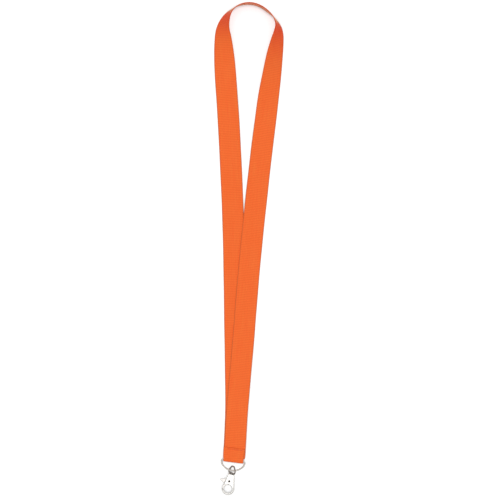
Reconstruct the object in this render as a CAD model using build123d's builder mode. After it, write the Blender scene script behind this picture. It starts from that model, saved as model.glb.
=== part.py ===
from build123d import *
from math import atan2, cos, degrees, pi, radians, sin, sqrt, tan
import os

# A neck lanyard lying flat: one woven ribbon makes a loop, its two ends are
# folded and sewn over the bar of a D-ring, and a swivel trigger hook hangs
# on the ring's bow. +Z is up, the ribbon lies on Z = 0, +Y runs from the
# hook to the top of the loop, and the origin is the middle of the footprint.

# ---- webbing ---------------------------------------------------------------
RIBBON_WIDTH = 20.0
RIBBON_THICK = 0.9
FOLD_WIDTH = 18.8        # the webbing gathers between the ring's legs
PLY_GAP = 0.1            # air between plies that lie on each other
FLAP_LENGTH = 11.6       # from the bar to the cut edge on top
TUCK_START = 1.5         # from the bar to the inner end's cut edge
TUCK_SHIFT = 0.9         # the inner end lies a little to the right of the fold
GATHER = 11.0            # length over which the webbing narrows to the fold
FLAP_DROP = 7.0          # length over which the flap comes down on the stack
FLAP_DRIFT = -0.5        # sideways drift of the flap's cut edge

# ---- D-ring ----------------------------------------------------------------
RING_WIRE = 1.5
RING_SIDE_GAP = 0.75     # webbing edge to the ring's leg, each side
RING_DEPTH = 9.6         # bar to bow, between wire centres
RING_CORNER = 1.5        # bend radius at the bar's ends, at the wire's centre
RING_LEG = 0.3           # straight leg below each corner
RING_SHOULDER = 5.0      # radius where the legs turn into the bow
RING_TILT = 9.4          # degrees, bow raised on the hook's eye
BAR_GAP = 0.17           # air between the bar and the webbing around it

# ---- where the sewn end and the hook lie -------------------------------------
BAR_X = -14.6
BAR_Y = -197.95
END_LEAN = 7.0           # degrees, lower end towards -X
HOOK_X = -16.35
HOOK_Y = -210.35
HOOK_Z = 3.35
HOOK_LEAN = 13.0         # degrees, lower end towards -X
HOOK_PITCH = 3.6         # degrees, eye end up

# ---- swivel eye ---------------------------------------------------------------
EYE_WIRE = 1.4
EYE_WIDTH = 8.9
EYE_HEIGHT = 7.75        # from the neck's top face
EYE_CORNER = 0.9
EYE_TURN = 37.0          # degrees about the hook's long axis
COLLAR_RADIUS = 1.9
COLLAR_GAP = 0.08        # collar to the neck's top face
SHANK_RADIUS = 0.8
RUNNING_GAP = 0.08       # radial clearance of shank and rivet
HEAD_RADIUS = 1.25
HEAD_THICK = 0.9
WASHER_RADIUS = 1.35
WASHER_THICK = 0.4
STACK_GAP = 0.05         # neck to washer and washer to head

# ---- hook body ------------------------------------------------------------------
NECK_WIDTH = 5.7
NECK_WALL = 1.9          # end wall that the shank passes through
BODY_THICK = 4.2
BODY_ROUND = 1.0
RING_CENTRE_DROP = 14.5  # neck top to the centre of the hook's ring
RING_OUTER = 5.8
RING_WALL = 1.7
INNER_ROUND = 0.5
POCKET_GAP = 0.15        # washer to pocket wall

# ---- gate -------------------------------------------------------------------------
PIVOT_X = -0.5
PIVOT_DROP = 7.0
RIVET_RADIUS = 0.8
RIVET_SEAT = 0.02
RIVET_HEAD_RADIUS = 1.0
RIVET_HEAD_DEPTH = 0.3
HUB_RADIUS = 2.2
GATE_PLATE = 1.6
GATE_ARM_THICK = 3.2
SLOT_SIDE_GAP = 0.2      # gate plate to each cheek
HUB_END_GAP = 0.3        # hub to the slot's end walls
MOUTH_TOP_ANGLE = 64.48  # degrees, up the ring's inner wall to the cheeks' lower end
STOP_GAP = 0.1           # arm's upper end to the cheeks, closed
TIP_RADIUS = 9.35        # gate tip, about the rivet
TIP_GAP = 0.25           # tip to nose
ARM_INSET = 0.05
FIN_ROOT_DROP = 5.3
FIN_REACH = 10.4         # fin tip, from the hook's centre line
FIN_TIP_DROP = 7.2
FIN_FOOT_DROP = 9.8
FIN_ROUND = 0.5

# ---- gate spring --------------------------------------------------------------------
SPRING_WIRE = 0.3
SPRING_RADIUS = 1.3      # to the wire's centre
SPRING_TURNS = 2
SPRING_ROOM = 0.12       # air around the coil in the hub's recess

# ---- seam -------------------------------------------------------------------------------
THREAD = 0.5
NEEDLE_GAP = 0.1         # thread to the needle hole's wall
SEAM_EDGE = 1.2          # seam to the flap's cut edge
STITCH_PITCH = 3.85
STITCH_HOLES = 5
SEAM_SHIFT = 0.75


# ---- frames ---------------------------------------------------------------------------------
def leaning(angle):
    """Across and along directions of a strap whose lower end leans to -X."""
    lean = radians(angle)
    return Vector(cos(lean), -sin(lean), 0), Vector(sin(lean), cos(lean), 0)


UP = Vector(0, 0, 1)
half_ply = RIBBON_THICK / 2
bar_height = RIBBON_THICK + BAR_GAP + RING_WIRE / 2
wrap_radius = RING_WIRE / 2 + BAR_GAP + half_ply

end_across, end_along = leaning(END_LEAN)
sewn_end = Plane(origin=(BAR_X, BAR_Y, 0), x_dir=end_across, z_dir=UP)

tilt = radians(RING_TILT)
ring_along = end_along * cos(tilt) - UP * sin(tilt)
ring_plane = Plane((BAR_X, BAR_Y, bar_height), x_dir=end_across, z_dir=end_across.cross(ring_along))

hook_across, hook_level = leaning(HOOK_LEAN)
pitch = radians(HOOK_PITCH)
hook_along = hook_level * cos(pitch) + UP * sin(pitch)
hook_plane = Plane((HOOK_X, HOOK_Y, HOOK_Z), x_dir=hook_across, z_dir=hook_across.cross(hook_along))


# ---- ribbon route ---------------------------------------------------------------------------
# Each point of the loop is (x, y, roll): the ribbon's middle, and how far its
# inner edge is raised, in degrees, about the outer edge that stays on the
# table. The loop runs up the right strap, over the top and down the left one.
LOOP = [
    (-11.9, -160.65, 0),
    (-9.1, -128.65, 0),
    (-5.3, -86.65, 0),
    (-2, -42.65, 0),
    (2, 1.35, 0),
    (6.7, 45.35, 0),
    (11.6, 89.35, 0),
    (15.6, 121.35, 5),
    (18.3, 143.35, 17),
    (21.3, 162.35, 29),
    (24.02, 181.35, 42),
    (26.33, 194.35, 54),
    (27.7, 202.35, 64),
    (27.1, 210.05, 78),
    (22.3, 218.2, 88.5),
    (7.9, 229.34, 88),
    (-8.2, 229.24, 86),
    (-18.9, 221.3, 79),
    (-24.6, 207.85, 55),
    (-24, 194.35, 36),
    (-22.9, 177.35, 17),
    (-21.5, 155.35, 5),
    (-19.2, 123.35, 0),
    (-16.6, 73.35, 0),
    (-14.6, 23.35, 0),
    (-13.5, -26.65, 0),
    (-13, -76.65, 0),
    (-12.1, -126.65, 0),
    (-11.9, -162.65, 0),
]
CROSSING_TOP = 46.0      # below this the right strap lies on the left one
EASE_TOP = 122.0         # above this it lies on the table itself


def strap_height(y, roll, going_up):
    """Height of the ribbon's middle: rolled about its outer edge, and lifted
    by one ply where it lies on the other strap."""
    height = half_ply + RIBBON_WIDTH / 2 * sin(radians(roll))
    if going_up and y < EASE_TOP:
        eased = min(1.0, (EASE_TOP - y) / (EASE_TOP - CROSSING_TOP))
        height += eased * (RIBBON_THICK + PLY_GAP)
    return height


def sewn_point(along, height, shift=0.0):
    """A point of the ribbon's middle in the sewn end's frame."""
    return sewn_end.from_local_coords(Vector(shift, along, height))


top_of_loop = max(range(len(LOOP)), key=lambda i: LOOP[i][1])
upper_ply = RIBBON_THICK + PLY_GAP + half_ply
points = [sewn_point(TUCK_START, upper_ply, TUCK_SHIFT)]
rolls = [0]
for index, (x, y, roll) in enumerate(LOOP):
    points.append(Vector(x, y, strap_height(y, roll, index < top_of_loop)))
    rolls.append(roll)
points.append(sewn_point(0, half_ply))
rolls.append(0)


def corner_radii(route):
    """As large as the two runs at each corner allow."""
    radii = []
    for before, here, after in zip(route, route[1:], route[2:]):
        turn = radians((here - before).get_angle(after - here))
        run = min((here - before).length, (after - here).length)
        radii.append(0.45 * run / tan(turn / 2))
    return radii


radii = corner_radii(points)
with BuildLine() as centre_line:
    FilletPolyline(*points, radius=radii)
route = centre_line.wire()


def roll_at(place, marks):
    """Roll in degrees at a distance along the route."""
    for (start, low), (end, high) in zip(marks, marks[1:]):
        if place <= end:
            share = (place - start) / (end - start)
            return low + (high - low) * share
    return marks[-1][1]


def width_at(distance_from_bar):
    """The webbing is full width away from the bar and gathered at it."""
    share = min(1.0, max(0.0, distance_from_bar / GATHER))
    return FOLD_WIDTH + (RIBBON_WIDTH - FOLD_WIDTH) * share


# Roll marks sit at the corners: each arc's middle is where its roll is full.
edges = route.edges()
places = []
travelled = 0.0
for edge in edges:
    places.append((travelled, edge))
    travelled += edge.length
arc_middles = [start + edge.length / 2 for start, edge in places if edge.geom_type == GeomType.CIRCLE]
marks = list(zip([0.0] + arc_middles + [travelled], rolls))

STATION_SPACING = 12.0   # along a straight run that rolls
ARC_STATIONS = 3


def ribbon_section(place, tangent, middle, roll):
    """Plane of the ribbon's cross-section, its X from outer to inner edge."""
    outward = tangent.cross(UP).normalized()
    across = outward * -cos(radians(roll)) + UP * sin(radians(roll))
    across = (across - tangent * across.dot(tangent)).normalized()
    end_distance = min(place + TUCK_START, travelled - place)
    return Plane(middle, x_dir=across, z_dir=tangent), width_at(end_distance)


sections = []
for start, edge in places:
    is_arc = edge.geom_type == GeomType.CIRCLE
    rolling = abs(roll_at(start, marks) - roll_at(start + edge.length, marks)) > 0.5
    count = ARC_STATIONS if is_arc else 1
    if rolling or min(start, travelled - start - edge.length) < GATHER:
        count = max(count, int(edge.length / STATION_SPACING) + 1)
    for step in range(count):
        share = step / count
        place = start + edge.length * share
        sections.append(ribbon_section(place, edge % share, edge @ share, roll_at(place, marks)))

# The inner end is cut parallel to the bar.
sections[0] = (Plane(points[0], x_dir=end_across, z_dir=end_along), width_at(TUCK_START))

# Around the bar and back on top, in the sewn end's frame.
WRAP_STEPS = 10
FLAP_STEPS = 8
flap_height = upper_ply + RIBBON_THICK + PLY_GAP
for step in range(WRAP_STEPS + 1):
    turn = pi * step / WRAP_STEPS
    along = -wrap_radius * sin(turn)
    height = bar_height - wrap_radius * cos(turn)
    heading = end_along * -cos(turn) + UP * sin(turn)
    sections.append((Plane(sewn_point(along, height), x_dir=end_across, z_dir=heading), FOLD_WIDTH))
flap_fall = bar_height + wrap_radius - flap_height
for step in range(1, FLAP_STEPS + 1):
    along = FLAP_LENGTH * step / FLAP_STEPS
    fall = min(1.0, along / FLAP_DROP)
    height = flap_height + flap_fall * (1 + cos(pi * fall)) / 2
    slope = -flap_fall * pi / FLAP_DROP * sin(pi * fall) / 2
    heading = (end_along + UP * slope).normalized()
    middle = sewn_point(along, height) + end_across * FLAP_DRIFT * along / FLAP_LENGTH
    sections.append((Plane(middle, x_dir=end_across, z_dir=heading), width_at(along)))

# ---- seam places, in the sewn end's frame ------------------------------------------------
seam_along = FLAP_LENGTH - SEAM_EDGE
stack_top = flap_height + half_ply
under_thread = THREAD / 2 + NEEDLE_GAP / 2
over_thread = stack_top + THREAD / 2 + NEEDLE_GAP / 2
first_hole = SEAM_SHIFT - (STITCH_HOLES - 1) / 2 * STITCH_PITCH
hole_places = [first_hole + i * STITCH_PITCH for i in range(STITCH_HOLES)]
seam_length = hole_places[-1] - hole_places[0]
needle_radius = THREAD / 2 + NEEDLE_GAP
seam_plane = Plane(sewn_end.from_local_coords(Vector(0, seam_along, 0)), x_dir=end_across, z_dir=UP)

with BuildPart() as neck_ribbon:
    for plane, width in sections:
        with BuildSketch(plane):
            Rectangle(width, RIBBON_THICK)
    loft(ruled=True)
    # needle holes through the stack, and the groove that the thread pulls underneath
    with BuildSketch(seam_plane):
        with Locations(*[(x, 0) for x in hole_places]):
            Circle(needle_radius)
    extrude(amount=stack_top + THREAD, mode=Mode.SUBTRACT)
    with BuildSketch(seam_plane):
        with Locations((SEAM_SHIFT, 0)):
            SlotCenterToCenter(seam_length, 2 * needle_radius)
    extrude(amount=under_thread + needle_radius, mode=Mode.SUBTRACT)
neck_ribbon.part.label = "neck_ribbon"

with BuildPart() as seam_stitching:
    with BuildSketch(seam_plane.offset(under_thread)):
        with Locations(*[(x, 0) for x in hole_places]):
            Circle(THREAD / 2)
    extrude(amount=over_thread - under_thread)
    for height in (under_thread, over_thread):
        rail_start = seam_plane.from_local_coords(Vector(hole_places[0], 0, height))
        with BuildSketch(Plane(rail_start, x_dir=UP, z_dir=end_across)):
            Circle(THREAD / 2)
        extrude(amount=seam_length)
        for x in (hole_places[0], hole_places[-1]):
            with Locations(seam_plane.from_local_coords(Vector(x, 0, height))):
                Sphere(THREAD / 2)
seam_stitching.part.label = "seam_stitching"

# ---- D-ring, in its own plane: bar along X at Y = 0, bow towards -Y ---------------------
leg_x = FOLD_WIDTH / 2 + RING_SIDE_GAP + RING_WIRE / 2
shoulder_y = -(RING_CORNER + RING_LEG)
shoulder_x = leg_x - RING_SHOULDER
bow_drop = RING_DEPTH + shoulder_y
bow_radius = (shoulder_x**2 + bow_drop**2 - RING_SHOULDER**2) / (2 * (bow_drop - RING_SHOULDER))
bow_centre_y = bow_radius - RING_DEPTH
shoulder_turn = degrees(atan2(bow_centre_y - shoulder_y, shoulder_x))

with BuildPart() as d_ring:
    with BuildLine() as ring_path:
        Line((-leg_x + RING_CORNER, 0), (leg_x - RING_CORNER, 0))
        CenterArc((leg_x - RING_CORNER, -RING_CORNER), RING_CORNER, 0, 90)
        Line((leg_x, -RING_CORNER), (leg_x, shoulder_y))
        CenterArc((shoulder_x, shoulder_y), RING_SHOULDER, -shoulder_turn, shoulder_turn)
        CenterArc((0, bow_centre_y), bow_radius, shoulder_turn - 180, 180 - 2 * shoulder_turn)
        CenterArc((-shoulder_x, shoulder_y), RING_SHOULDER, 180, shoulder_turn)
        Line((-leg_x, shoulder_y), (-leg_x, -RING_CORNER))
        CenterArc((-leg_x + RING_CORNER, -RING_CORNER), RING_CORNER, 90, 90)
    with BuildSketch(Plane.YZ):
        Circle(RING_WIRE / 2)
    sweep(path=ring_path.wire())
d_ring.part.label = "d_ring"
d_ring.part.locate(ring_plane.location)

# ---- swivel eye, in the hook's frame: Y along the hook, neck top at Y = 0 ----------------
turn = radians(EYE_TURN)
eye_plane = Plane((0, 0, 0), x_dir=(cos(turn), 0, sin(turn)), z_dir=(-sin(turn), 0, cos(turn)))
eye_side = (EYE_WIDTH - EYE_WIRE) / 2
eye_base = COLLAR_GAP + EYE_WIRE / 2
eye_top = EYE_HEIGHT - EYE_WIRE / 2
eye_rise = eye_top - eye_base
washer_y = -(NECK_WALL + STACK_GAP)
head_y = washer_y - WASHER_THICK - STACK_GAP
EYE_SHAPE = [(0.92, 0.0), (1.0, 0.37), (0.36, 1.0)]  # base, shoulder and crown corners


def across_hook(y):
    """Plane square to the hook's long axis at a height along it."""
    return Plane((0, y, 0), x_dir=(1, 0, 0), z_dir=(0, 1, 0))


with BuildPart() as swivel_eye:
    right = [(eye_side * x, eye_base + eye_rise * y) for x, y in EYE_SHAPE]
    left = [(-x, y) for x, y in reversed(right)]
    with BuildLine(eye_plane) as eye_path:
        FilletPolyline(*right, *left, close=True, radius=EYE_CORNER)
    with BuildSketch(Plane(eye_path.wire() @ 0, z_dir=eye_path.wire() % 0)):
        Circle(EYE_WIRE / 2)
    sweep(path=eye_path.wire())
    with BuildSketch(across_hook(COLLAR_GAP)):
        Circle(COLLAR_RADIUS)
    extrude(amount=EYE_WIRE / 3)
    with BuildSketch(across_hook(head_y)):
        Circle(SHANK_RADIUS)
    extrude(amount=eye_base - head_y)
    with BuildSketch(across_hook(head_y - HEAD_THICK)):
        Circle(HEAD_RADIUS)
    extrude(amount=HEAD_THICK)
swivel_eye.part.label = "swivel_eye"
swivel_eye.part.locate(hook_plane.location)

with BuildPart() as swivel_washer:
    with BuildSketch(across_hook(washer_y - WASHER_THICK)):
        Circle(WASHER_RADIUS)
        Circle(SHANK_RADIUS + RUNNING_GAP, mode=Mode.SUBTRACT)
    extrude(amount=WASHER_THICK)
swivel_washer.part.label = "swivel_washer"
swivel_washer.part.locate(hook_plane.location)

# ---- hook body -----------------------------------------------------------------------------------
slot_width = GATE_PLATE + 2 * SLOT_SIDE_GAP
slot_top = -PIVOT_DROP + HUB_RADIUS + HUB_END_GAP
slot_right = PIVOT_X + HUB_RADIUS + HUB_END_GAP
slot_left = -RING_OUTER - BODY_THICK
pivot = (PIVOT_X, -PIVOT_DROP)
ring_centre = (0, -RING_CENTRE_DROP)
ring_inner = RING_OUTER - RING_WALL
half_body = BODY_THICK / 2
mouth_top = -RING_CENTRE_DROP + ring_inner * sin(radians(MOUTH_TOP_ANGLE))
mouth_right = -ring_inner / 3

with BuildPart() as hook_body:
    with BuildSketch(Plane.XY.offset(-half_body)):
        with Locations(ring_centre):
            Circle(RING_OUTER)
        with Locations((0, -NECK_WALL / 2)):
            Rectangle(NECK_WIDTH, NECK_WALL)
        make_hull()
    extrude(amount=BODY_THICK)
    rims = hook_body.edges().group_by(Axis.Z)
    fillet(rims[0] + rims[-1], radius=BODY_ROUND)
    with BuildSketch(Plane.XY.offset(-half_body)):
        with Locations(ring_centre):
            Circle(ring_inner)
    extrude(amount=BODY_THICK, mode=Mode.SUBTRACT)
    inner_rims = hook_body.edges().filter_by(GeomType.CIRCLE)
    inner_rims = inner_rims.filter_by(lambda e: abs(e.radius - ring_inner) < 0.01)
    fillet(inner_rims, radius=INNER_ROUND)
    # mouth: the gap in the ring that the gate's arm closes, its lower end an arc about the rivet
    with BuildSketch(Plane.XY.offset(-half_body)):
        with Locations(pivot):
            Circle(TIP_RADIUS + TIP_GAP)
        with Locations((mouth_right, mouth_top)):
            Rectangle(-slot_left, RING_OUTER * 2, align=(Align.MAX, Align.MAX), mode=Mode.INTERSECT)
    extrude(amount=BODY_THICK, mode=Mode.SUBTRACT)
    # slot between the cheeks
    with BuildSketch(Plane.XY.offset(-slot_width / 2)):
        with Locations((slot_right, slot_top)):
            Rectangle(slot_right - slot_left, slot_top + RING_CENTRE_DROP, align=(Align.MAX, Align.MAX))
    extrude(amount=slot_width, mode=Mode.SUBTRACT)
    # bore for the shank, and the pocket for its washer and head
    with BuildSketch(across_hook(-NECK_WALL)):
        Circle(SHANK_RADIUS + RUNNING_GAP)
    extrude(amount=NECK_WALL, mode=Mode.SUBTRACT)
    with BuildSketch(across_hook(slot_top)):
        Circle(WASHER_RADIUS + POCKET_GAP)
    extrude(amount=-NECK_WALL - slot_top, mode=Mode.SUBTRACT)
    # rivet hole, counterbored for both heads
    with BuildSketch(Plane.XY.offset(-half_body)):
        with Locations(pivot):
            Circle(RIVET_RADIUS + RIVET_SEAT)
    extrude(amount=BODY_THICK, mode=Mode.SUBTRACT)
    for face_height, depth in ((half_body, -RIVET_HEAD_DEPTH), (-half_body, RIVET_HEAD_DEPTH)):
        with BuildSketch(Plane.XY.offset(face_height)):
            with Locations(pivot):
                Circle(RIVET_HEAD_RADIUS + RIVET_SEAT)
        extrude(amount=depth, mode=Mode.SUBTRACT)
hook_body.part.label = "hook_body"
hook_body.part.locate(hook_plane.location)

with BuildPart() as gate_rivet:
    with BuildSketch(Plane.XY.offset(-half_body)):
        with Locations(pivot):
            Circle(RIVET_RADIUS)
    extrude(amount=BODY_THICK)
    head_seat = half_body - RIVET_HEAD_DEPTH + RIVET_SEAT
    for start_height in (-half_body, head_seat):
        with BuildSketch(Plane.XY.offset(start_height)):
            with Locations(pivot):
                Circle(RIVET_HEAD_RADIUS)
        extrude(amount=RIVET_HEAD_DEPTH - RIVET_SEAT)
gate_rivet.part.label = "gate_rivet"
gate_rivet.part.locate(hook_plane.location)

# ---- gate: hub, fin and arm --------------------------------------------------------------------------
arm_outer = RING_OUTER - ARM_INSET
arm_inner = ring_inner + ARM_INSET
arm_top = mouth_top - STOP_GAP
arm_foot_x = -sqrt(arm_outer**2 - (arm_top + RING_CENTRE_DROP) ** 2)
spring_pitch = SPRING_WIRE * 1.1
recess_floor = GATE_PLATE / 2 - SPRING_WIRE - spring_pitch * SPRING_TURNS - SPRING_ROOM
recess_radius = SPRING_RADIUS + SPRING_WIRE / 2 + SPRING_ROOM
leg_y = -PIVOT_DROP + SPRING_RADIUS
lane_width = SPRING_WIRE + 2 * SPRING_ROOM

with BuildPart() as gate_lever:
    with BuildSketch(Plane.XY.offset(-GATE_PLATE / 2)):
        with Locations(pivot):
            Circle(HUB_RADIUS)
        with BuildLine():
            Polyline(
                (PIVOT_X, -PIVOT_DROP + HUB_RADIUS),
                (-HUB_RADIUS * 2, -FIN_ROOT_DROP),
                (-FIN_REACH, -FIN_TIP_DROP),
                (arm_foot_x, -FIN_FOOT_DROP),
                (arm_foot_x, arm_top - RING_WALL / 2),
                (arm_foot_x + RING_WALL, arm_top - RING_WALL / 2),
                (PIVOT_X, -PIVOT_DROP - HUB_RADIUS),
                close=True,
            )
        make_face()
        with Locations(ring_centre):
            Circle(arm_inner, mode=Mode.SUBTRACT)
    extrude(amount=GATE_PLATE)
    fin_tip = gate_lever.edges().filter_by(Axis.Z).sort_by(Axis.X)[0]
    fillet(fin_tip, radius=FIN_ROUND)
    with BuildSketch(Plane.XY.offset(-GATE_ARM_THICK / 2)):
        with Locations(ring_centre):
            Circle(arm_outer)
            Circle(arm_inner, mode=Mode.SUBTRACT)
        with Locations((mouth_right, arm_top)):
            Rectangle(RING_OUTER, RING_OUTER * 2, align=(Align.MAX, Align.MAX), mode=Mode.INTERSECT)
        with Locations(pivot):
            Circle(TIP_RADIUS, mode=Mode.INTERSECT)
    extrude(amount=GATE_ARM_THICK)
    with BuildSketch(Plane.XY.offset(-GATE_PLATE / 2)):
        with Locations(pivot):
            Circle(RIVET_RADIUS + RUNNING_GAP)
    extrude(amount=GATE_PLATE, mode=Mode.SUBTRACT)
    # recess for the spring: open to the right, where its fixed leg stands
    # still as the gate turns, with a lane to the left for the moving leg
    with BuildSketch(Plane.XY.offset(recess_floor)):
        with Locations(pivot):
            Circle(recess_radius)
            Rectangle(HUB_RADIUS * 2, recess_radius * 2, align=(Align.MIN, Align.CENTER))
        with Locations((PIVOT_X, leg_y)):
            Rectangle(HUB_RADIUS + lane_width, lane_width, align=(Align.MAX, Align.CENTER))
    extrude(amount=GATE_PLATE, mode=Mode.SUBTRACT)
gate_lever.part.label = "gate_lever"
gate_lever.part.locate(hook_plane.location)

# ---- gate spring: a torsion spring around the rivet, in the hub's recess -----------------------------
spring_base = recess_floor + SPRING_ROOM / 2 + SPRING_WIRE / 2
coil_plane = Plane((PIVOT_X, -PIVOT_DROP, spring_base), x_dir=(0, 1, 0), z_dir=(0, 0, 1))
coil_height = spring_pitch * SPRING_TURNS
fixed_leg = slot_right - SPRING_ROOM / 2 - PIVOT_X
moving_leg = HUB_RADIUS + SPRING_WIRE

with BuildPart() as gate_spring:
    with BuildLine(coil_plane) as coil:
        Helix(pitch=spring_pitch, height=coil_height, radius=SPRING_RADIUS)
    with BuildSketch(Plane(coil.wire() @ 0, z_dir=coil.wire() % 0)):
        Circle(SPRING_WIRE / 2)
    sweep(path=coil.wire(), is_frenet=True)
    for height, reach in ((spring_base, fixed_leg), (spring_base + coil_height, -moving_leg)):
        with BuildSketch(Plane((PIVOT_X, leg_y, height), x_dir=(0, 1, 0), z_dir=(1, 0, 0))):
            Circle(SPRING_WIRE / 2)
        extrude(amount=reach)
        with Locations((PIVOT_X, leg_y, height)):
            Sphere(SPRING_WIRE / 2)
gate_spring.part.label = "gate_spring"
gate_spring.part.locate(hook_plane.location)

# ---- export ----------------------------------------------------------------------------------------------
pieces = [neck_ribbon, seam_stitching, d_ring, swivel_eye, swivel_washer]
pieces += [hook_body, gate_lever, gate_rivet, gate_spring]
os.makedirs("parts", exist_ok=True)
for piece in pieces:
    export_step(piece.part, f"parts/{piece.part.label}.step")
print("ribbon's corner radii:", [round(radius, 1) for radius in radii])
print("ribbon's length:", round(travelled + pi * wrap_radius + FLAP_LENGTH, 1))
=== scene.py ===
import bmesh
import bpy
import numpy as np
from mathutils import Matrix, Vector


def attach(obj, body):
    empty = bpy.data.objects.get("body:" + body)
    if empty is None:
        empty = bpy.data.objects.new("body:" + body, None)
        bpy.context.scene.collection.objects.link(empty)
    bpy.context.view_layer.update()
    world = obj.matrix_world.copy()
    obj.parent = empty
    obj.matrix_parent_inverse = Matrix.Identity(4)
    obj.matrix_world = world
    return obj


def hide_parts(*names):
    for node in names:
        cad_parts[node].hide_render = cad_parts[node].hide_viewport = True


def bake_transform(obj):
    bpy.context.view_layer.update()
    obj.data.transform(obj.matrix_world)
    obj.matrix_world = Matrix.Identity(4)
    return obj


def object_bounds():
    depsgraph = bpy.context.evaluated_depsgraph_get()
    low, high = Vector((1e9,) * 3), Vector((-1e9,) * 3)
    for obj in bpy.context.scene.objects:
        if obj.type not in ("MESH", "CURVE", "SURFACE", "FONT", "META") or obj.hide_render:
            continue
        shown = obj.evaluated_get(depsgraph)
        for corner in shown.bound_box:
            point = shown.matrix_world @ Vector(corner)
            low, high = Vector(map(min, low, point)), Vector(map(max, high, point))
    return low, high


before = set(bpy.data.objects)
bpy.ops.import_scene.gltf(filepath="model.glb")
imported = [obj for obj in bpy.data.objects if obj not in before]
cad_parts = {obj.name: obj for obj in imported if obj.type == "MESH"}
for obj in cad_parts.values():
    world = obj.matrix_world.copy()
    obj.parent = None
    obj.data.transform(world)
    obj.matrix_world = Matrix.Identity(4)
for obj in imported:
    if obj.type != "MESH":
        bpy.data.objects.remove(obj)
cad_low, cad_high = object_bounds()
scene = bpy.context.scene
scene.view_settings.view_transform = "Standard"

# ---- camera ----------------------------------------------------------------------------------
# A long lens looks straight down on the lanyard from head height above a
# table, over the middle of the loop.
CAMERA_HEIGHT = 1.45
CAMERA_LENS = 111.2          # mm, on a 36 mm sensor
SIDESTEP = (0.001, -0.00074)
lens = bpy.data.cameras.new("overhead_camera")
lens.lens = CAMERA_LENS
camera = bpy.data.objects.new("overhead_camera", lens)
loop_middle = (cad_low + cad_high) / 2
camera.location = (loop_middle.x + SIDESTEP[0], loop_middle.y + SIDESTEP[1], CAMERA_HEIGHT)
scene.collection.objects.link(camera)
scene.camera = camera

# ---- neck ribbon -----------------------------------------------------------------------------
# Twenty millimetre polyester webbing, woven with cross ribs. It goes up the
# right strap, stands on its edge over the top of the loop, comes down the left
# strap, and its two ends are folded and sewn over the bar of the D-ring.
WIDTH = 0.020
THICK = 0.0009
FOLD_WIDTH = 0.0188          # gathered between the ring's legs
FLAP_GATHER = 0.011          # length over which the flap gathers
PLY_GATHER = 0.0055          # and the plies under it
WEFT_LOOP = 0.00016          # the weft stands out of the nominal width on each side
RIB_PITCH = 0.0016
RIB_DEPTH = 0.00007
RIB_ENDS = (0.93, 1.0)       # shares of the half width between which the ribs run out
SELVEDGE = (0.88, 0.96)      # and between which the cloth thins
SELVEDGE_THINNING = 0.28     # share of its thickness that the cloth loses there
EDGE_RIPPLE = 0.00004        # the edge goes in and out with each rib
EDGE_WANDER = 0.00007        # and more slowly along the strap
WANDER_RATES = (95.0, 41.0)  # radians in a metre
PLY_RISE = 0.001             # one ply and the air under it
CLIMB_START = 0.122          # the right strap climbs on to the left one, going down from here
CLIMB_LENGTH = 0.076
OVERHANG = (0.0004, 0.009)   # beyond the left strap's edge, the right one sinks to the table
END_LEAN = np.radians(7.0)
BAR_MIDDLE = np.array([-0.0146, -0.19795, 0.00182])
WRAP_RADIUS = 0.00137        # ribbon's middle above and below the bar's middle
WRAP_REACH = 0.0016          # and in front of it, where it sits loosely
FLAP_LENGTH = 0.0116
FLAP_DROP = 0.007
FLAP_DRIFT = -0.0005
PRESSED = 0.5                # share of its thickness that the flap's heat-cut end loses
PRESSED_LENGTH = 0.0009
TUCK_START = 0.0015          # from the bar to the inner end's cut edge
SEAM_ALONG = 0.0104          # from the bar to the row of stitches
STITCH_PITCH = 0.00385
STITCH_HOLES = 5
SEAM_SHIFT = 0.00075
SEAM_DRIFT = 0.9 * FLAP_DRIFT
PUCKER_DEPTH = 0.00026       # the thread draws the cloth in at each hole
PUCKER_RADIUS = 0.0008
ROW_DEPTH = 0.00006          # and a little all along the row
ROW_WIDTH = 0.0006
GROOVE_DEPTH = 0.0004        # and lies in a groove under the stack
GROOVE_WIDTH = 0.0005
GROOVE_REACH = 0.0087

end_across = np.array([np.cos(END_LEAN), -np.sin(END_LEAN), 0.0])
end_along = np.array([np.sin(END_LEAN), np.cos(END_LEAN), 0.0])
UPWARD = np.array([0.0, 0.0, 1.0])


def sewn_point(along, height, shift=0.0):
    """A point on the sewn end: the bar's place, moved up the strap and across it, at a height."""
    return [*(BAR_MIDDLE + end_along * along + end_across * shift)[:2], height]


# x, y and height of the ribbon's middle
ROUTE = [
    sewn_point(TUCK_START, 0.00145, 0.0009),
    (-0.0119, -0.16065, 0.00145),
    (-0.0091, -0.12865, 0.00145),
    (-0.0053, -0.08665, 0.00145),
    (-0.0020, -0.04265, 0.00145),
    (0.0020, 0.00135, 0.00145),
    (0.0066, 0.04535, 0.00145),
    (0.0115, 0.08935, 0.00087),
    (0.0156, 0.12135, 0.00132),
    (0.0183, 0.14335, 0.00337),
    (0.0213, 0.16235, 0.0053),
    (0.02402, 0.18135, 0.00714),
    (0.02633, 0.19435, 0.00854),
    (0.0277, 0.20235, 0.00944),
    (0.0271, 0.21005, 0.01023),
    (0.0223, 0.21820, 0.01045),
    (0.0078, 0.22906, 0.01044),
    (-0.0081, 0.22896, 0.01043),
    (-0.0189, 0.22130, 0.01027),
    (-0.0246, 0.20785, 0.00864),
    (-0.0240, 0.19435, 0.00633),
    (-0.0229, 0.17735, 0.00337),
    (-0.0215, 0.15535, 0.00132),
    (-0.0192, 0.12335, 0.00045),
    (-0.0166, 0.07335, 0.00045),
    (-0.0146, 0.02335, 0.00045),
    (-0.0135, -0.02665, 0.00045),
    (-0.0130, -0.07665, 0.00045),
    (-0.0121, -0.12665, 0.00045),
    (-0.0119, -0.16265, 0.00045),
    sewn_point(0.0, 0.00045),
]
route_curve = bpy.data.curves.new("ribbon_route", "CURVE")
route_curve.dimensions = "3D"
route_curve.resolution_u = 64
spline = route_curve.splines.new("NURBS")
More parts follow.
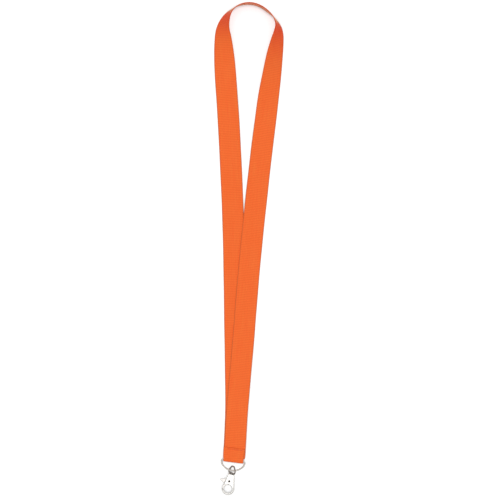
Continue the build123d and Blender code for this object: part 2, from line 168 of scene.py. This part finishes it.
spline.points.add(len(ROUTE) - 1)
spline.points.foreach_set("co", np.c_[np.array(ROUTE), np.ones(len(ROUTE))].ravel())
spline.order_u = 3
spline.use_endpoint_u = True
route_object = bpy.data.objects.new("ribbon_route", route_curve)
scene.collection.objects.link(route_object)
line_mesh = bpy.data.meshes.new_from_object(route_object)
route_line = np.zeros(len(line_mesh.vertices) * 3)
line_mesh.vertices.foreach_get("co", route_line)
route_line = route_line.reshape(-1, 3)
bpy.data.objects.remove(route_object)


def evenly(points, spacing):
    """The same line with a point at every equal step of its own length, and how far along each one is."""
    steps = np.linalg.norm(np.diff(points, axis=0), axis=1)
    travelled = np.r_[0.0, np.cumsum(steps)]
    places = np.linspace(0, travelled[-1], int(round(travelled[-1] / spacing)) + 1)
    return np.stack([np.interp(places, travelled, points[:, axis]) for axis in range(3)], axis=1), places


def unit(vectors):
    """Each vector divided by its own length."""
    return vectors / np.linalg.norm(vectors, axis=-1, keepdims=True)


def smooth_share(value, start, end):
    """0 before start, 1 after end, and between them three times the share squared less twice its cube."""
    share = np.clip((value - start) / (end - start), 0, 1)
    return share * share * (3 - 2 * share)


STATION = RIB_PITCH / 4
middle, travelled = evenly(route_line, STATION)
heading = unit(np.gradient(middle, axis=0))
outward = unit(np.cross(heading, UPWARD))
# The outer edge stays on the table, so the height of the middle gives the roll.
top_station = int(np.argmax(middle[:, 1]))
going_up = np.arange(len(middle)) < top_station
lift = PLY_RISE * np.clip((CLIMB_START - middle[:, 1]) / CLIMB_LENGTH, 0, 1) * going_up
roll = np.arcsin(np.clip((middle[:, 2] - THICK / 2 - lift) / (WIDTH / 2), 0, 1))
across = unit(np.sin(roll)[:, None] * UPWARD - np.cos(roll)[:, None] * outward)
from_bar = np.minimum(travelled + TUCK_START, travelled[-1] - travelled)

# Round the bar on half an ellipse, and back on top as the flap, which falls to the plies under it
# by half a wave of a cosine.
turn = np.linspace(0, np.pi, int(round(np.pi * WRAP_RADIUS / STATION)) + 1)[1:]
wrap_along, wrap_height = -WRAP_REACH * np.sin(turn), BAR_MIDDLE[2] - WRAP_RADIUS * np.cos(turn)
flap_along = np.linspace(0, FLAP_LENGTH, int(round(FLAP_LENGTH / STATION)) + 1)[1:]
flap_low = THICK / 2 + 2 * PLY_RISE
fall = BAR_MIDDLE[2] + WRAP_RADIUS - flap_low
flap_height = flap_low + fall * (1 + np.cos(np.pi * np.clip(flap_along / FLAP_DROP, 0, 1))) / 2
flap_height -= THICK / 2 * PRESSED * smooth_share(flap_along, FLAP_LENGTH - PRESSED_LENGTH, FLAP_LENGTH)
end_place = np.r_[wrap_along, flap_along]
end_height = np.r_[wrap_height, flap_height]
drift = FLAP_DRIFT * smooth_share(end_place, 0, FLAP_LENGTH / 2)
end_middle = BAR_MIDDLE * [1, 1, 0] + end_place[:, None] * end_along + drift[:, None] * end_across
end_middle += end_height[:, None] * UPWARD
end_steps = np.linalg.norm(np.diff(np.vstack([middle[-1:], end_middle]), axis=0), axis=1)

centre = np.vstack([middle, end_middle])
heading = unit(np.gradient(centre, axis=0))
across = np.vstack([across, np.tile(end_across, (len(end_middle), 1))])
across = unit(across - heading * np.sum(across * heading, axis=1, keepdims=True))
upper = np.cross(heading, across)
travelled = np.r_[travelled, travelled[-1] + np.cumsum(end_steps)]
from_bar = np.r_[from_bar, np.clip(end_place, 0, None)]
flap_share = np.r_[np.zeros(len(middle)), np.clip(end_place, 0, None)]
gather = np.where(flap_share > 0, FLAP_GATHER, PLY_GATHER)
half_width = (FOLD_WIDTH + (WIDTH - FOLD_WIDTH) * smooth_share(from_bar, -0.2 * gather, gather)) / 2
half_width += WEFT_LOOP * smooth_share(from_bar, 0, 3 * FLAP_GATHER)

# The section: columns over the top, round one edge, back underneath, round the other. There are
# three columns to a stitch, so that one of them goes through each needle hole.
EDGE = THICK / WIDTH         # radius of the rounded selvedge, as a share of the half width
seam_half = WIDTH / 2
columns = (SEAM_SHIFT - SEAM_DRIFT + STITCH_PITCH / 3 * np.arange(-7, 7)) / seam_half
columns = np.r_[-(1 - EDGE), columns, 1 - EDGE]
rounding = np.radians([45.0, 0.0, -45.0])
round_off = 1 - EDGE + EDGE * np.cos(rounding)
section_across = np.r_[columns, round_off, columns[::-1], -round_off]
section_up = np.r_[np.ones(len(columns)), np.sin(rounding), -np.ones(len(columns)), -np.sin(rounding)]
AROUND = len(section_across)

# Each point is the path's, moved across by its reach and along the cloth's upper side by its rise. The
# rise is half the thickness, which dips between the ribs as a cosine to the power 0.7 does.
rib = np.abs(np.cos(np.pi * travelled / RIB_PITCH)) ** 0.7
flatness = 1 - smooth_share(np.abs(section_across), *RIB_ENDS)
half_thick = THICK / 2 - RIB_DEPTH * (1 - rib)[:, None] * flatness
half_thick = half_thick * (1 - SELVEDGE_THINNING * smooth_share(np.abs(section_across), *SELVEDGE))
pressed = PRESSED * smooth_share(flap_share, FLAP_LENGTH - PRESSED_LENGTH, FLAP_LENGTH)
half_thick = half_thick * (1 - pressed[:, None])
edge_wave = EDGE_RIPPLE * np.cos(2 * np.pi * travelled / RIB_PITCH)
edge_wave += EDGE_WANDER * np.sin(travelled * WANDER_RATES[0]) * np.sin(travelled * WANDER_RATES[1] + 1)
reach = half_width[:, None] * section_across
reach += edge_wave[:, None] * np.sign(section_across) * (1 - flatness)
rise = half_thick * section_up
# The needle holes, the puckers round them on the flap's face, and the groove under the stack. Puckers
# and groove are bell curves of the distance from the hole or the row.
hole_places = SEAM_SHIFT + STITCH_PITCH * (np.arange(STITCH_HOLES) - (STITCH_HOLES - 1) / 2)
off_hole = np.min(np.abs(reach[:, :, None] + SEAM_DRIFT - hole_places), axis=2)
on_row = np.exp(-((flap_share - SEAM_ALONG) / ROW_WIDTH) ** 2)
pucker = PUCKER_DEPTH * np.exp(-(off_hole / PUCKER_RADIUS) ** 2) + ROW_DEPTH
rise += on_row[:, None] * pucker * (section_up < -0.5)
place = np.arange(len(centre))
left_strap = (place > top_station) & (place < len(middle))
groove = GROOVE_DEPTH * np.exp(-((from_bar - SEAM_ALONG) / GROOVE_WIDTH) ** 2) * left_strap
rise += groove[:, None] * (section_up < -0.5) * (np.abs(reach - SEAM_SHIFT) < GROOVE_REACH)
position = centre[:, None] + across[:, None] * reach[:, :, None] + upper[:, None] * rise[:, :, None]
# Where the right strap overhangs the left one's edge, it sinks to the table.
left_line = centre[left_strap][::-1]
left_edge = np.interp(position[:, :, 1], left_line[:, 1], left_line[:, 0]) + WIDTH / 2
lifted = np.r_[lift, np.zeros(len(end_middle))][:, None]
position[:, :, 2] -= lifted * smooth_share(position[:, :, 0] - left_edge, *OVERHANG)


def tube_faces(stations, around):
    """Quads of a tube laid out ring after ring. Each corner of a ring joins the one after it and the same
    two of the next ring, and the last corner joins the first."""
    ring = np.arange(stations - 1)[:, None] * around
    here, there = ring + np.arange(around), ring + (np.arange(around) + 1) % around
    return np.stack([here, here + around, there + around, there], axis=2).reshape(-1, 4)


def surface(name, vertices, faces):
    """A smooth-shaded mesh object from vertex positions and faces."""
    mesh = bpy.data.meshes.new(name)
    mesh.from_pydata(np.asarray(vertices).reshape(-1, 3), [], faces)
    mesh.update()
    mesh.shade_smooth()
    made = bpy.data.objects.new(name, mesh)
    scene.collection.objects.link(made)
    return made


def lay_map(thing, name, u, v):
    """A UV map whose two coordinates are given for each vertex."""
    corners = np.zeros(len(thing.data.loops), int)
    thing.data.loops.foreach_get("vertex_index", corners)
    layer = thing.data.uv_layers.new(name=name)
    layer.uv.foreach_set("vector", np.stack([u, v], axis=1)[corners].ravel())


stations = len(centre)
faces = tube_faces(stations, AROUND).tolist()
faces += [list(range(AROUND)), list(range(stations * AROUND - 1, (stations - 1) * AROUND - 1, -1))]
ribbon = surface("ribbon", position, faces)
half_mm = WIDTH * 500
lay_map(ribbon, "weave", np.tile(half_mm * section_across, stations), np.repeat(1000 * travelled, AROUND))
# How far the strap leans over, from 0 where it lies flat to 1 where it stands on its edge; the webbing
# paints shade by it.
lean = ribbon.data.attributes.new("lean", "FLOAT", "POINT")
lean.data.foreach_set("value", np.repeat(np.r_[1 - np.cos(roll), np.zeros(len(end_middle))], AROUND))


def srgb(red, green, blue):
    """Display colour from 0 to 255, as the linear colour that shaders take by the sRGB curve."""
    share = np.array([red, green, blue]) / 255
    linear = np.where(share <= 0.04045, share / 12.92, ((share + 0.055) / 1.055) ** 2.4)
    return (*linear, 1.0)


def put(tree, kind, inputs=(), **settings):
    """Adds a node, sets its properties, and sets or links its inputs, given as (socket, value) pairs."""
    node = tree.nodes.new(kind)
    for key, value in settings.items():
        setattr(node, key, value)
    for socket, value in inputs:
        if isinstance(value, bpy.types.NodeSocket):
            tree.links.new(value, node.inputs[socket])
        else:
            node.inputs[socket].default_value = value
    return node


def math(tree, operation, *values):
    """One math node; its value output."""
    return put(tree, "ShaderNodeMath", enumerate(values), operation=operation).outputs[0]


def blend_colour(tree, share, first, second, kind="MIX"):
    """Colour mix of two colours by a share; its colour output."""
    pairs = [(0, share), (6, first), (7, second)]
    return put(tree, "ShaderNodeMix", pairs, data_type="RGBA", blend_type=kind).outputs[2]


def remap(tree, value, low, high, new_low=0.0, new_high=1.0):
    """A value carried from one range to another, and held inside it."""
    limits = {"From Min": low, "From Max": high, "To Min": new_low, "To Max": new_high}
    return put(tree, "ShaderNodeMapRange", [("Value", value), *limits.items()]).outputs[0]


def new_material(name, **sockets):
    """A material with one Principled BSDF, its plain numbers set on it; the material, tree and shader."""
    material = bpy.data.materials.new(name)
    material.use_nodes = True
    tree = material.node_tree
    shader = tree.nodes["Principled BSDF"]
    for socket, value in sockets.items():
        shader.inputs[socket.replace("_", " ")].default_value = value
    return material, tree, shader


def stretched(tree, place, factors):
    """A place with each coordinate multiplied by its own factor; its vector output."""
    return put(tree, "ShaderNodeVectorMath", [(0, place), (1, factors)], operation="MULTIPLY").outputs[0]


def noise(tree, place, scale, detail, roughness=0.5):
    """Soft noise over a place; its value output."""
    pairs = [("Vector", place), ("Scale", scale), ("Detail", detail), ("Roughness", roughness)]
    return put(tree, "ShaderNodeTexNoise", pairs).outputs[0]


# The weave is drawn in millimetres: a cosine along the strap for the ribs, and a sine across it for
# the warp yarns, whose floats over the weft are staggered from one yarn to the next.
YARN_PITCH = 0.42            # mm, one warp yarn
FLOAT_PITCH = 0.8            # mm, one float of a yarn over the weft
webbing, tree, shader = new_material(
    "orange_webbing",
    Specular_IOR_Level=0.14,
    Sheen_Weight=0.2,
    Sheen_Roughness=0.3,
    Sheen_Tint=srgb(255, 160, 110),
)
weave = put(tree, "ShaderNodeUVMap", uv_map="weave").outputs[0]
split = put(tree, "ShaderNodeSeparateXYZ", [(0, weave)])
over, along = split.outputs[0], split.outputs[1]
rib_angle = math(tree, "MULTIPLY", along, np.pi / (RIB_PITCH * 1000))
rib_mask = math(tree, "ABSOLUTE", math(tree, "COSINE", rib_angle))
yarn = math(tree, "DIVIDE", over, YARN_PITCH)
yarn_dome = math(tree, "ABSOLUTE", math(tree, "SINE", math(tree, "MULTIPLY", yarn, np.pi)))
stagger = math(tree, "MULTIPLY", math(tree, "FLOORED_MODULO", math(tree, "FLOOR", yarn), 2.0), 0.5)
float_place = math(tree, "ADD", math(tree, "DIVIDE", along, FLOAT_PITCH), stagger)
float_dome = math(tree, "ABSOLUTE", math(tree, "SINE", math(tree, "MULTIPLY", float_place, np.pi)))
yarn_height = math(tree, "MULTIPLY", yarn_dome, math(tree, "MULTIPLY_ADD", float_dome, 0.75, 0.25))
# Dye varies in fine streaks along the yarns, and in soft blotches.
streaks = noise(tree, stretched(tree, weave, (1.4, 0.035, 1.0)), 1.0, 3.0)
blotches = noise(tree, stretched(tree, weave, (0.12, 0.045, 1.0)), 1.0, 2.0)
colour = blend_colour(tree, remap(tree, streaks, 0.3, 0.7), srgb(254, 111, 51), srgb(255, 127, 59))
colour = blend_colour(tree, remap(tree, blotches, 0.35, 0.65, 0.0, 0.5), colour, srgb(255, 114, 51))
# Painted shade: the colour goes darker and redder in the valleys between the ribs and in the gaps between
# the yarns.
rib_valley_shade = math(tree, "MULTIPLY", remap(tree, rib_mask, 0.0, 0.7, 1.0, 0.0), 0.45)
colour = blend_colour(tree, rib_valley_shade, colour, srgb(206, 72, 22))
between = math(tree, "MULTIPLY", math(tree, "SUBTRACT", 1.0, yarn_height), 0.4)
colour = blend_colour(tree, between, colour, srgb(222, 84, 34))
# Where the strap twists on to its edge, its colour is painted deeper and redder: painted shade of the face
# tilted away from the lamp.
twist_shade_share = put(tree, "ShaderNodeAttribute", attribute_name="lean").outputs["Fac"]
colour = blend_colour(tree, remap(tree, twist_shade_share, 0.2, 0.6, 0.0, 0.65), colour, srgb(242, 58, 32))
# Seen along its face, the colour is painted pale: a painted sheen of the loose fibres catching the light.
sheen_facing = put(tree, "ShaderNodeLayerWeight", [("Blend", 0.5)]).outputs["Facing"]
colour = blend_colour(tree, remap(tree, sheen_facing, 0.82, 0.97, 0.0, 1.0), colour, srgb(255, 205, 160))
# The selvedges are darker, partly from their hard-packed yarns and partly as painted shade of the rounded
# edges, and the heat-cut ends are darker.
selvedge_tone_and_shade = remap(tree, math(tree, "ABSOLUTE", over), half_mm - 0.9, half_mm - 0.4)
from_cut = math(tree, "MINIMUM", along, math(tree, "SUBTRACT", 1000 * travelled[-1], along))
sealed = remap(tree, from_cut, 0.2, 0.7, 1.0, 0.0)
colour = blend_colour(tree, math(tree, "MULTIPLY", selvedge_tone_and_shade, 0.5), colour, srgb(184, 98, 58))
colour = blend_colour(tree, math(tree, "MULTIPLY", sealed, 0.06), colour, srgb(168, 58, 26))
tree.links.new(colour, shader.inputs["Base Color"])
tree.links.new(remap(tree, streaks, 0.3, 0.7, 0.58, 0.72), shader.inputs["Roughness"])
bump = put(tree, "ShaderNodeBump", [("Strength", 0.7), ("Distance", 0.0001), ("Height", yarn_height)])
tree.links.new(bump.outputs[0], shader.inputs["Normal"])
ribbon.data.materials.append(webbing)

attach(ribbon, "strap")
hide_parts("neck_ribbon")

# ---- seam stitching --------------------------------------------------------------------------
# One row of lock stitches in two-ply polyester thread. It goes through the
# three plies of the sewn end and holds the ribbon's ends round the bar.
STRAND_RADIUS = 0.00015
STRAND_OFFSET = 0.00012
STRAND_SIDES = 8
STRAND_STEPS = 260
TWIST_PITCH = 0.0011
STACK_TOP = THICK / 2 + flap_low
UPPER_ROW = (STACK_TOP + 0.00012, 0.0009)      # height between the holes, and dip at them
LOWER_ROW = (0.00032, -0.0006)


def strand_wall(height, dip, phase):
    """One strand, wound round a line that runs from the first needle hole to the last. The line falls by
    dip times the eighth power of the cosine of its place between the holes. The strand goes round it by
    a full turn in each pitch, and its wall is a circle carried along it."""
    run = np.linspace(hole_places[0], hole_places[-1], STRAND_STEPS)
    line_height = height - dip * np.cos(np.pi * (run - hole_places[0]) / STITCH_PITCH) ** 8
    line = sewn_point(SEAM_ALONG, 0) + run[:, None] * end_across + line_height[:, None] * UPWARD
    forward = unit(np.gradient(line, axis=0))
    beside = np.cross(forward, end_along)
    gone = np.r_[0, np.cumsum(np.linalg.norm(np.diff(line, axis=0), axis=1))]
    angle = 2 * np.pi * gone / TWIST_PITCH + phase
    strand = line + STRAND_OFFSET * (np.cos(angle)[:, None] * end_along + np.sin(angle)[:, None] * beside)
    ring = np.linspace(0, 2 * np.pi, STRAND_SIDES, endpoint=False)
    wall = np.cos(ring)[:, None] * end_along + np.sin(ring)[:, None] * beside[:, None]
    return strand[:, None] + STRAND_RADIUS * wall, gone


thread_points, thread_faces, thread_u, thread_v = [], [], [], []
for height, dip in (UPPER_ROW, LOWER_ROW):
    for phase in (0.0, np.pi):
        strand, gone = strand_wall(height, dip, phase)
        first = sum(len(points) for points in thread_points)
        last = first + STRAND_STEPS * STRAND_SIDES
        thread_faces += (tube_faces(STRAND_STEPS, STRAND_SIDES) + first).tolist()
        thread_faces.append(list(range(first, first + STRAND_SIDES)))
        thread_faces.append(list(range(last - 1, last - STRAND_SIDES - 1, -1)))
        thread_points.append(strand.reshape(-1, 3))
        thread_u.append(np.tile(np.arange(STRAND_SIDES) / STRAND_SIDES, STRAND_STEPS))
        thread_v.append(np.repeat(1000 * gone, STRAND_SIDES))
stitching = surface("stitching", np.vstack(thread_points), thread_faces)
lay_map(stitching, "weave", np.concatenate(thread_u), np.concatenate(thread_v))

sewing_thread, tree, shader = new_material("sewing_thread", Specular_IOR_Level=0.4, Sheen_Weight=0.15)
weave = put(tree, "ShaderNodeUVMap", uv_map="weave").outputs[0]
fibres = noise(tree, stretched(tree, weave, (9.0, 2.0, 1.0)), 1.0, 2.0)
colour = blend_colour(tree, remap(tree, fibres, 0.3, 0.7), srgb(214, 82, 32), srgb(244, 112, 52))
tree.links.new(colour, shader.inputs["Base Color"])
tree.links.new(remap(tree, fibres, 0.3, 0.7, 0.42, 0.6), shader.inputs["Roughness"])
bump = put(tree, "ShaderNodeBump", [("Strength", 0.5), ("Distance", 0.00003), ("Height", fibres)])
tree.links.new(bump.outputs[0], shader.inputs["Normal"])
stitching.data.materials.append(sewing_thread)
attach(stitching, "strap")
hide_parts("seam_stitching")

# ---- D-ring ----------------------------------------------------------------------------------
# Steel wire bent into a D, its butt joint hidden in the fold of the ribbon,
# and nickel plated.


def wear_group():
    """Node group shared by all the metal: the soft mottling, hair scratches and pits of a worn surface,
    as three masks. The mottling is noise, the scratches are where a noise drawn out along one axis
    crosses its middle value, and the pits are the middles of the cells of a Voronoi pattern."""
    group = bpy.data.node_groups.new("plating_wear", "ShaderNodeTree")
    group.interface.new_socket("Place", in_out="INPUT", socket_type="NodeSocketVector")
    group.interface.new_socket("Patch size", in_out="INPUT", socket_type="NodeSocketFloat")
    for name in ("Mottle", "Scratches", "Pits"):
        group.interface.new_socket(name, in_out="OUTPUT", socket_type="NodeSocketFloat")
    given = group.nodes.new("NodeGroupInput")
    result = group.nodes.new("NodeGroupOutput")
    scale = math(group, "DIVIDE", 1.0, given.outputs["Patch size"])
    mottle = noise(group, given.outputs["Place"], scale, 4.0, 0.6)
    drawn = stretched(group, given.outputs["Place"], (1.0, 0.05, 1.0))
    hair = noise(group, drawn, math(group, "MULTIPLY", scale, 4.0), 1.0)
    off_middle = math(group, "ABSOLUTE", math(group, "SUBTRACT", hair, 0.5))
    pairs = [("Vector", given.outputs["Place"]), ("Scale", math(group, "MULTIPLY", scale, 2.5))]
    cells = put(group, "ShaderNodeTexVoronoi", pairs).outputs["Distance"]
    group.links.new(remap(group, mottle, 0.32, 0.68), result.inputs["Mottle"])
    group.links.new(remap(group, off_middle, 0.0, 0.012, 1.0, 0.0), result.inputs["Scratches"])
    group.links.new(remap(group, cells, 0.05, 0.13, 1.0, 0.0), result.inputs["Pits"])
    return group


plating_wear = wear_group()


def metal(name, bright, dull, rough, patch, grain, grain_depth, soft_edge=0.0):
    """A worn metal. Its colour and roughness go from bright to dull with the mottling, scratches and pits,
    and a fine noise bumps the surface. A soft edge turns the normals near an edge as rounding it would."""
    material, tree, shader = new_material(name, Metallic=1.0)
    place = put(tree, "ShaderNodeTexCoord").outputs["Object"]
    wear = put(tree, "ShaderNodeGroup", node_tree=plating_wear)
    tree.links.new(place, wear.inputs["Place"])
    wear.inputs["Patch size"].default_value = patch
    clouded = math(tree, "MULTIPLY", wear.outputs["Mottle"], 0.6)
    scratched = math(tree, "MULTIPLY", wear.outputs["Scratches"], 0.45)
    tired = math(tree, "MAXIMUM", math(tree, "MAXIMUM", clouded, scratched), wear.outputs["Pits"])
    tree.links.new(blend_colour(tree, tired, bright, dull), shader.inputs["Base Color"])
    tree.links.new(remap(tree, tired, 0.0, 1.0, *rough), shader.inputs["Roughness"])
    fine = noise(tree, place, grain, 3.0)
    height = math(tree, "SUBTRACT", fine, math(tree, "MULTIPLY", wear.outputs["Pits"], 0.8))
    bump = put(tree, "ShaderNodeBump", [("Strength", 0.5), ("Distance", grain_depth), ("Height", height)])
    if soft_edge:
        rounded = put(tree, "ShaderNodeBevel", [("Radius", soft_edge)], samples=6)
        tree.links.new(rounded.outputs[0], bump.inputs["Normal"])
    tree.links.new(bump.outputs[0], shader.inputs["Normal"])
    return material


def coat(thing, material):
    """Gives a piece one material and no other."""
    thing.data.materials.clear()
    thing.data.materials.append(material)


WIRE_GRAIN = 2600.0
nickel_wire = metal(
    "nickel_wire",
    bright=srgb(222, 217, 209),
    dull=srgb(168, 160, 152),
    rough=(0.14, 0.34),
    patch=0.0016,
    grain=WIRE_GRAIN,
    grain_depth=0.00001,
)
coat(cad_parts["d_ring"], nickel_wire)

# ---- swivel eye and its washer ---------------------------------------------------------------
# Wire formed into a bell-shaped eye on a collar, in a darker nickel plate. Its
# shank goes down through the hook's neck, and is headed over a steel washer.
eye_wire = metal(
    "eye_wire",
    bright=srgb(178, 170, 164),
    dull=srgb(122, 114, 108),
    rough=(0.14, 0.34),
    patch=0.0012,
    grain=WIRE_GRAIN,
    grain_depth=0.00001,
)
coat(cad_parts["swivel_eye"], eye_wire)
washer_steel = metal(
    "washer_steel",
    bright=srgb(190, 188, 186),
    dull=srgb(120, 116, 112),
    rough=(0.3, 0.5),
    patch=0.0009,
    grain=4000.0,
    grain_depth=0.00001,
)
coat(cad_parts["swivel_washer"], washer_steel)

# ---- hook body -------------------------------------------------------------------------------
# Zinc die casting, tumbled and nickel plated: a neck with two cheeks that
# runs out into the open ring of the hook. Tumbling leaves its edges soft.
TUMBLED_EDGE = 0.00024
CASTING_GRAIN = 3200.0
nickel_casting = metal(
    "nickel_casting",
    bright=srgb(240, 238, 234),
    dull=srgb(212, 208, 202),
    rough=(0.16, 0.32),
    patch=0.0022,
    grain=CASTING_GRAIN,
    grain_depth=0.000012,
    soft_edge=0.0004,
)


def tumbled(node_name, name, edge):
    """A copy of a CAD part with its triangles merged, its flat faces joined, and its sharp edges rounded
    by a bevel."""
    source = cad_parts[node_name].data
    mesh = source.copy()
    mesh.name = name
    work = bmesh.new()
    work.from_mesh(mesh)
    bmesh.ops.remove_doubles(work, verts=work.verts, dist=1e-6)
    bmesh.ops.dissolve_limit(work, angle_limit=np.radians(0.6), verts=work.verts, edges=work.edges)
    work.to_mesh(mesh)
    work.free()
    if "custom_normal" in mesh.attributes:
        mesh.attributes.remove(mesh.attributes["custom_normal"])
    mesh.shade_smooth()
    made = bpy.data.objects.new(name, mesh)
    scene.collection.objects.link(made)
    bevel = made.modifiers.new("tumbled_edges", "BEVEL")
    bevel.width = edge
    bevel.segments = 3
    bevel.limit_method = "ANGLE"
    bevel.angle_limit = np.radians(30)
    bevel.harden_normals = True
    return made


hook_casting = tumbled("hook_body", "hook_casting", TUMBLED_EDGE)
coat(hook_casting, nickel_casting)
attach(hook_casting, "hook")
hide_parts("hook_body")

# ---- gate ------------------------------------------------------------------------------------
# The same casting alloy, with a slightly duller plate: a hub on the rivet, a
# fin for the thumb, and an arm that closes the mouth of the hook.
GATE_EDGE = 0.00018
gate_nickel = metal(
    "gate_nickel",
    bright=srgb(206, 202, 198),
    dull=srgb(194, 190, 186),
    rough=(0.18, 0.34),
    patch=0.002,
    grain=CASTING_GRAIN,
    grain_depth=0.000012,
    soft_edge=0.0005,
)
gate_casting = tumbled("gate_lever", "gate_casting", GATE_EDGE)
coat(gate_casting, gate_nickel)
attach(gate_casting, "gate")
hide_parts("gate_lever")

# ---- gate rivet ------------------------------------------------------------------------------
# Blackened steel pin pressed through both cheeks, its heads domed by the
# riveting punch, which leaves a dimple in the middle.
RIVET_MIDDLE = np.array([-0.01840874, -0.21704466, 0.00291047])
RIVET_AXIS = unit(np.array([-0.01412, -0.06118, 0.99803]))
HOOK_ACROSS = unit(np.array([0.97437, -0.22495, 0.0]))
HALF_BODY = 0.0021
SHANK_RADIUS = 0.0008
HEAD_RADIUS = 0.001
HEAD_DEPTH = 0.00028
DOME_RISE = 0.00022
DIMPLE_RADIUS = 0.00034
DIMPLE_DEPTH = 0.0001
PIN_SIDES = 48


def turned(name, radii, heights, middle, axis, start):
    """A surface of revolution: at each angle round the axis, the profile's radius goes out that way from
    the middle, and its height goes along the axis."""
    angle = np.linspace(0, 2 * np.pi, PIN_SIDES, endpoint=False)
    around = np.cos(angle)[:, None] * start + np.sin(angle)[:, None] * np.cross(axis, start)
    points = middle + radii[:, None, None] * around + heights[:, None, None] * axis
    faces = tube_faces(len(radii), PIN_SIDES)[:, ::-1].tolist()
    faces.append(list(range(PIN_SIDES - 1, -1, -1)))
    faces.append(list(range((len(radii) - 1) * PIN_SIDES, len(radii) * PIN_SIDES)))
    return surface(name, points, faces)


# The head is an ellipse's quarter with a cosine dimple in its middle, and the pin is the same at both ends.
head_radii = HEAD_RADIUS * np.sin(np.linspace(0.02, np.pi / 2, 20))
dome = DOME_RISE * np.sqrt(1 - (head_radii / HEAD_RADIUS) ** 2)
dome -= DIMPLE_DEPTH * (1 + np.cos(np.pi * np.clip(head_radii / DIMPLE_RADIUS, 0, 1))) / 2
head_top = HALF_BODY + dome
profile_radii = np.r_[head_radii, HEAD_RADIUS, SHANK_RADIUS]
profile_heights = np.r_[head_top, HALF_BODY - HEAD_DEPTH, HALF_BODY - HEAD_DEPTH]
profile_radii = np.r_[profile_radii, profile_radii[::-1]]
profile_heights = np.r_[profile_heights, -profile_heights[::-1]]
rivet_pin = turned("rivet_pin", profile_radii, profile_heights, RIVET_MIDDLE, RIVET_AXIS, HOOK_ACROSS)
rivet_steel = metal(
    "rivet_steel",
    bright=srgb(96, 92, 90),
    dull=srgb(58, 54, 52),
    rough=(0.34, 0.55),
    patch=0.0005,
    grain=5000.0,
    grain_depth=0.000012,
)
coat(rivet_pin, rivet_steel)
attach(rivet_pin, "hook")
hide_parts("gate_rivet")

# ---- gate spring -----------------------------------------------------------------------------
# Torsion spring of hard-drawn wire, coiled round the rivet in the gate's hub.
# Its lower leg bears on the hook and its upper leg on the gate, so its coils
# wind up as the gate opens.
spring_steel = metal(
    "spring_steel",
    bright=srgb(150, 148, 150),
    dull=srgb(96, 92, 92),
    rough=(0.25, 0.4),
    patch=0.0006,
    grain=6000.0,
    grain_depth=0.000006,
)
spring_wire = bpy.data.objects.new("spring_wire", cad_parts["gate_spring"].data.copy())
scene.collection.objects.link(spring_wire)
coat(spring_wire, spring_steel)
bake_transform(spring_wire)
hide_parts("gate_spring")

# ---- floor, world and lamp -------------------------------------------------------------------
# White paper under a large soft lamp, in a room with a pale ceiling and
# darker walls, which give the metal its outlines. The paper's glow is for the
# eye and for reflections only, and it fades where something touches it, as a
# painted contact shadow.
HALF_FLOOR = 4.0
FLOOR_DROP = 2e-5
PAPER = 0.55
PAPER_GLOW = 0.64
CONTACT_REACH = 0.0025
ROOM_LIGHT = 0.62            # on the object, from all round
LAMP_SIDE = 1.8
LAMP_HEIGHT = 2.2
LAMP_POWER = 23.6
corner = np.array([[-1, -1], [1, -1], [1, 1], [-1, 1]]) * HALF_FLOOR
floor = surface("floor", np.c_[corner, np.full(4, -FLOOR_DROP)], [(0, 1, 2, 3)])
paper, tree, shader = new_material("white_paper", Roughness=0.9, Specular_IOR_Level=0.1)
shader.inputs["Base Color"].default_value = (PAPER, PAPER, PAPER, 1)
shader.inputs["Emission Color"].default_value = (1, 1, 1, 1)
path = put(tree, "ShaderNodeLightPath")
seen = math(tree, "MAXIMUM", path.outputs["Is Camera Ray"], path.outputs["Is Glossy Ray"])
seen = math(tree, "MAXIMUM", seen, path.outputs["Is Transmission Ray"])
# Painted contact shadow: ambient occlusion dims the paper's glow where something touches it.
open_sky = put(tree, "ShaderNodeAmbientOcclusion", [("Distance", CONTACT_REACH)], samples=8).outputs["AO"]
contact_shadow_fade = remap(tree, open_sky, 0.3, 1.0, 0.35, 1.0)
glow = math(tree, "MULTIPLY", math(tree, "MULTIPLY", seen, PAPER_GLOW), contact_shadow_fade)
tree.links.new(glow, shader.inputs["Emission Strength"])
floor.data.materials.append(paper)

world = bpy.data.worlds.new("studio")
scene.world = world
world.use_nodes = True
tree = world.node_tree
path = put(tree, "ShaderNodeLightPath")
direction = put(tree, "ShaderNodeTexCoord").outputs["Generated"]
upness = put(tree, "ShaderNodeSeparateXYZ", [(0, direction)]).outputs[2]
walls = remap(tree, upness, 0.0, 0.8, 0.75, 0.15)
ceiling = remap(tree, upness, 0.84, 0.95, 0.0, 1.75)
mirrored = math(tree, "ADD", walls, ceiling)
shown = math(tree, "MAXIMUM", path.outputs["Is Camera Ray"], path.outputs["Is Transmission Ray"])
strength = math(tree, "MULTIPLY", path.outputs["Is Glossy Ray"], mirrored)
strength = math(tree, "ADD", strength, shown)
lit = math(tree, "SUBTRACT", 1.0, math(tree, "MAXIMUM", shown, path.outputs["Is Glossy Ray"]))
strength = math(tree, "ADD", strength, math(tree, "MULTIPLY", lit, ROOM_LIGHT))
tree.links.new(strength, tree.nodes["Background"].inputs["Strength"])
tree.nodes["Background"].inputs["Color"].default_value = (1, 1, 1, 1)

lamp = bpy.data.lights.new("overhead_softbox", "AREA")
lamp.shape = "SQUARE"
lamp.size = LAMP_SIDE
lamp.energy = LAMP_POWER
lamp_object = bpy.data.objects.new("overhead_softbox", lamp)
lamp_object.location = (0, 0, LAMP_HEIGHT)
lamp_object.visible_glossy = False
scene.collection.objects.link(lamp_object)
